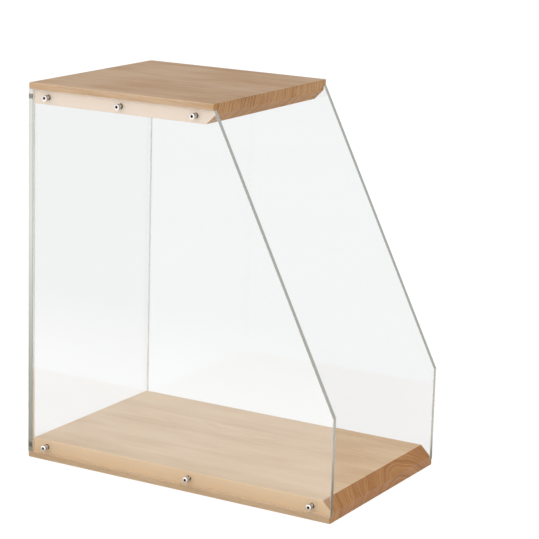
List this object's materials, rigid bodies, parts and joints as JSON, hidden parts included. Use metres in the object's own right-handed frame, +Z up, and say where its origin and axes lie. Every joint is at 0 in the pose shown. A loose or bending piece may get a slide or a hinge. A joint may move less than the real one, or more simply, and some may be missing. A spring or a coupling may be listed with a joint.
{
  "type": "countertop display case",
  "caption": "Open-fronted countertop display case: wooden base and shorter wooden top joined by clear acrylic sides and back, with a slanted front opening.",
  "frame": {"origin": "centre of the base board's underside", "axes": "+Z up, the open slanted front faces -Y, +X to the right seen from the front"},
  "size_m": [0.2072, 0.3286, 0.355],
  "materials": {
    "board_wood": "clear satin oil on planed hardwood",
    "clear_acrylic": "clear, polished faces and edges",
    "stainless_steel": "bright stainless, turned",
    "clear_nylon": "translucent natural nylon",
    "insert_brass": "turned brass"
  },
  "bodies": {
    "root": {"base_board": "board_wood", "top_board": "board_wood", "left_side_panel": "clear_acrylic", "right_side_panel": "clear_acrylic", "back_panel": "clear_acrylic", "left_top_screws": "stainless_steel", "left_top_washers": "clear_nylon", "left_top_inserts": "insert_brass", "left_bottom_screws": "stainless_steel", "left_bottom_washers": "clear_nylon", "left_bottom_inserts": "insert_brass", "right_top_screws": "stainless_steel", "right_top_washers": "clear_nylon", "right_top_inserts": "insert_brass", "right_bottom_screws": "stainless_steel", "right_bottom_washers": "clear_nylon", "right_bottom_inserts": "insert_brass", "back_top_screws": "stainless_steel", "back_top_washers": "clear_nylon", "back_top_inserts": "insert_brass", "back_bottom_screws": "stainless_steel", "back_bottom_washers": "clear_nylon", "back_bottom_inserts": "insert_brass"}
  },
  "joints": []
}
